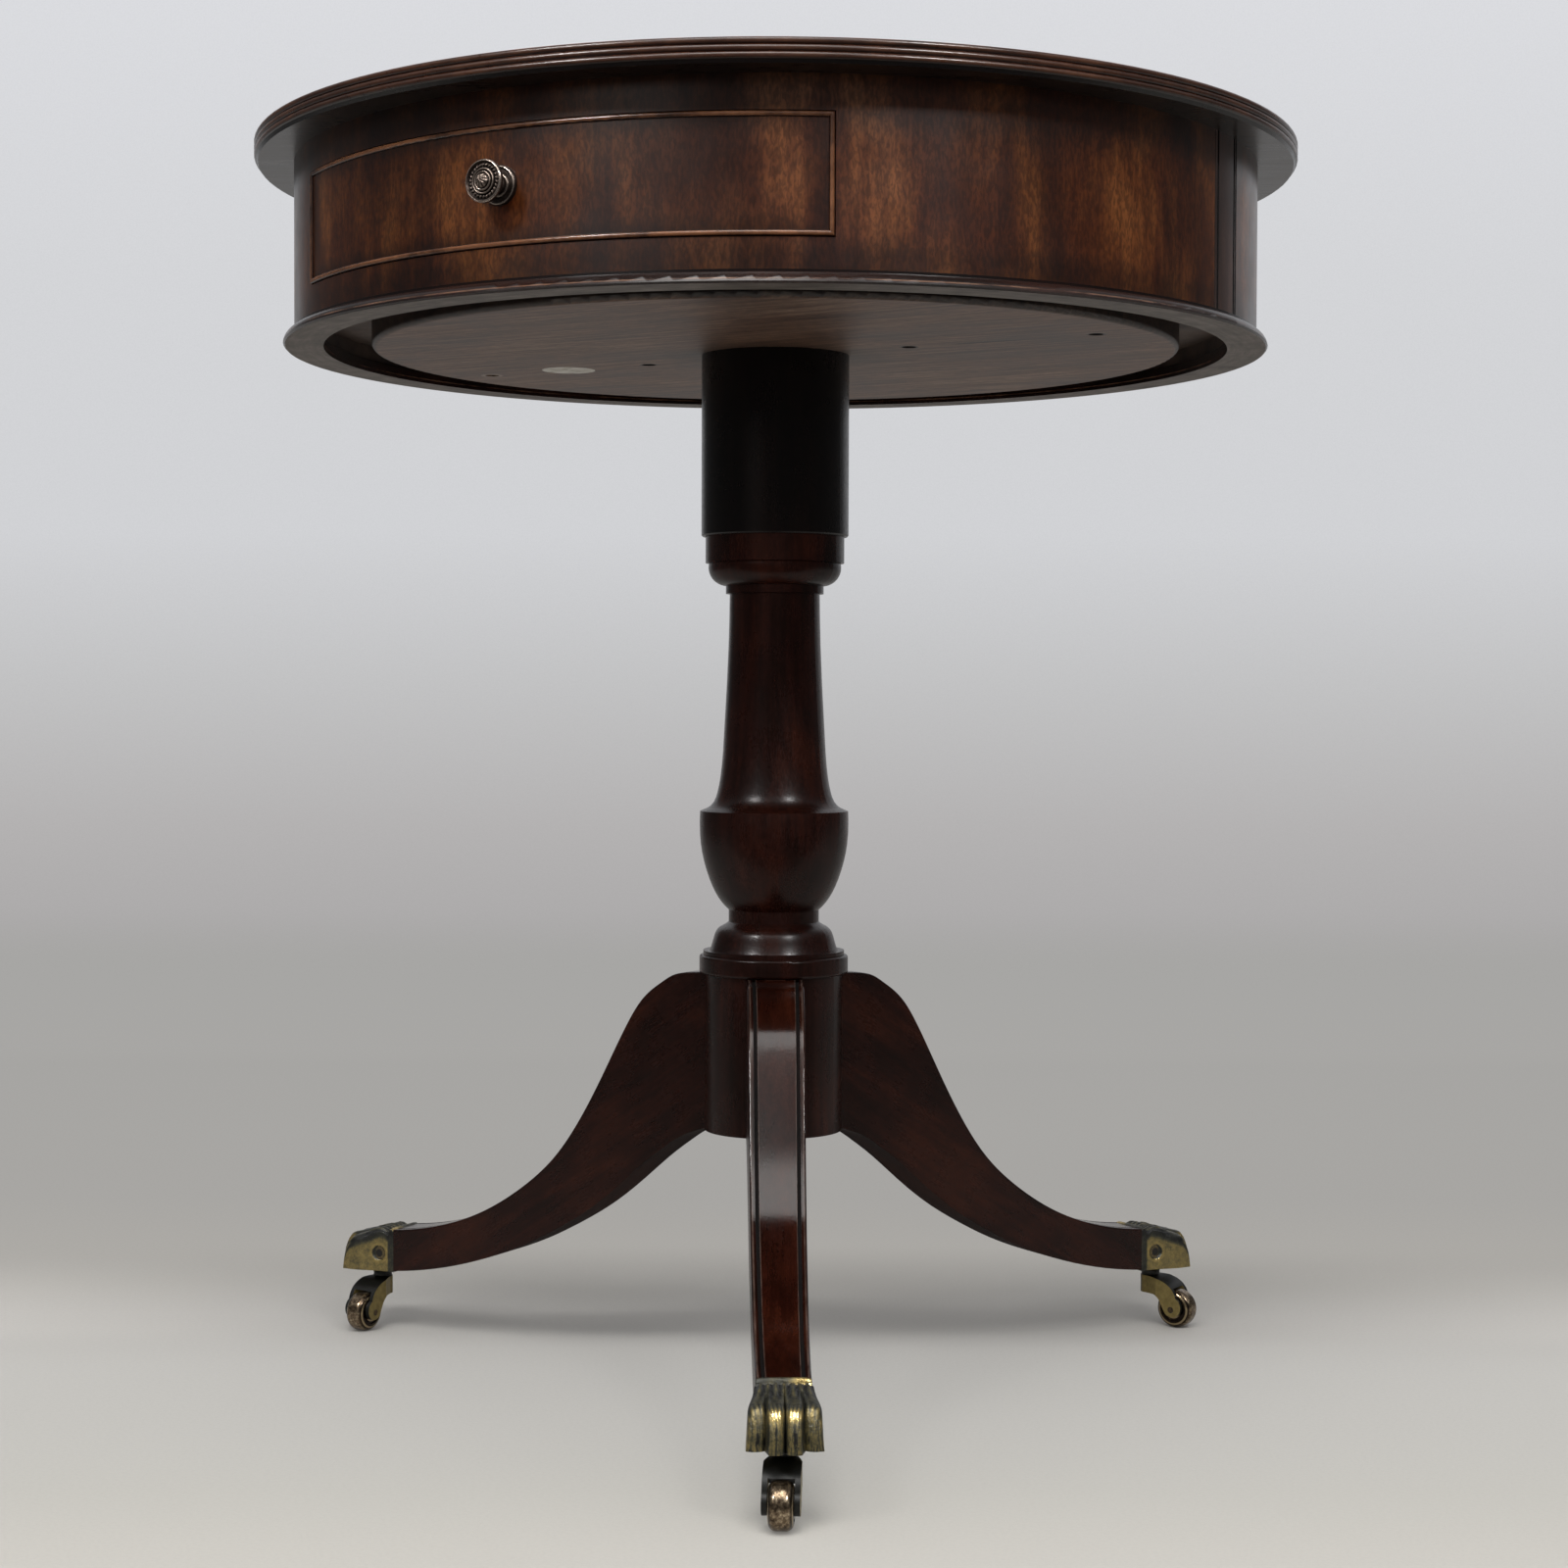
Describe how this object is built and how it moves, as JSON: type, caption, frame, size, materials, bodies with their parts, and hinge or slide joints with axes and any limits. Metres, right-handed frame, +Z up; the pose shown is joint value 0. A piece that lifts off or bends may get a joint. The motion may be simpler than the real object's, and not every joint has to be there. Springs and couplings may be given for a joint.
{
  "type": "drum table",
  "caption": "Round drum table with a curved drawer in its turning drum, on a turned pillar with sabre legs, lion-paw toes and casters.",
  "frame": {"origin": "on the floor under the pillar's axis, which is the axis the drum turns about", "axes": "+Z up; -Y towards the drawer's side; +X to the right of someone who faces the drawer from -Y"},
  "size_m": [0.6205, 0.61, 0.728],
  "materials": {
    "mahogany": "dark red-brown mahogany, French polished",
    "mahogany_veneer": "figured mahogany veneer with a mottled upright ribbon figure, polished",
    "underside_board": "dull, rubbed brown wood, unpolished",
    "lining_wood": "bare light brown drawer lining and blocks",
    "pale_plug": "pale bare plug",
    "iron": "dark oiled iron",
    "bronze": "dark antique bronze, rubbed bright on the high rims",
    "brass": "antique brass, brown-green patina in the hollows and bright worn knuckles"
  },
  "bodies": {
    "pedestal": {"column": "mahogany", "head_block": "mahogany", "turntable_board": "underside_board", "bearing_strap": "iron", "strap_screws": "iron", "head_screws": "iron", "hole_plug": "pale_plug", "pivot_bolt": "iron", "pivot_washer": "iron", "pivot_nut": "iron", "leg_front": "mahogany", "claw_front": "brass", "leg_right": "mahogany", "claw_right": "brass", "leg_left": "mahogany", "claw_left": "brass", "claw_screws": "iron"},
    "drum": {"top_board": "mahogany_veneer", "top_lipping": "mahogany", "frieze_front": "mahogany_veneer", "frieze_back": "mahogany_veneer", "strip_right": "mahogany", "strip_left": "mahogany", "base_moulding": "mahogany", "drum_floor": "lining_wood", "top_blocks": "lining_wood", "top_screws": "iron", "runner_right": "lining_wood", "runner_left": "lining_wood", "kicker_right": "lining_wood", "kicker_left": "lining_wood", "drawer_stop": "lining_wood", "back_stops": "lining_wood"},
    "drawer": {"drawer_front": "mahogany_veneer", "cockbead_top": "mahogany", "cockbead_bottom": "mahogany", "cockbead_right": "mahogany", "cockbead_left": "mahogany", "drawer_side_right": "lining_wood", "drawer_side_left": "lining_wood", "drawer_back": "lining_wood", "drawer_bottom": "lining_wood", "knob_rose": "bronze", "drawer_knob": "bronze", "knob_nut": "bronze"},
    "caster_front": {"fork_front": "brass", "axle_front": "iron"},
    "roller_front": {"wheel_front": "brass"},
    "caster_right": {"fork_right": "brass", "axle_right": "iron"},
    "roller_right": {"wheel_right": "brass"},
    "caster_left": {"fork_left": "brass", "axle_left": "iron"},
    "roller_left": {"wheel_left": "brass"}
  },
  "joints": [
    {"name": "drum_spin", "type": "hinge", "parent": "pedestal", "child": "drum", "pos_m": [0, 0, 0.6281], "axis": [0, 0, 1], "continuous": true},
    {"name": "drawer_slide", "type": "slide", "parent": "drum", "child": "drawer", "axis": [0, -1, 0], "range_m": [0, 0.15]},
    {"name": "caster_swivel_front", "type": "hinge", "parent": "pedestal", "child": "caster_front", "pos_m": [0.14849, -0.2491, 0.0321], "axis": [0, 0, 1], "continuous": true},
    {"name": "wheel_spin_front", "type": "hinge", "parent": "caster_front", "child": "roller_front", "pos_m": [0.15686, -0.26671, 0.0123], "axis": [0.9033, 0.4289, 0], "continuous": true},
    {"name": "caster_swivel_right", "type": "hinge", "parent": "pedestal", "child": "caster_right", "pos_m": [0.14148, 0.25315, 0.0321], "axis": [0, 0, 1], "continuous": true},
    {"name": "wheel_spin_right", "type": "hinge", "parent": "caster_right", "child": "roller_right", "pos_m": [0.16089, 0.25124, 0.0123], "axis": [0.0976, 0.9952, 0], "continuous": true},
    {"name": "caster_swivel_left", "type": "hinge", "parent": "pedestal", "child": "caster_left", "pos_m": [-0.28997, -0.00405, 0.0321], "axis": [0, 0, 1], "continuous": true},
    {"name": "wheel_spin_left", "type": "hinge", "parent": "caster_left", "child": "roller_left", "pos_m": [-0.29018, -0.02355, 0.0123], "axis": [0.9999, -0.0105, 0], "continuous": true}
  ]
}
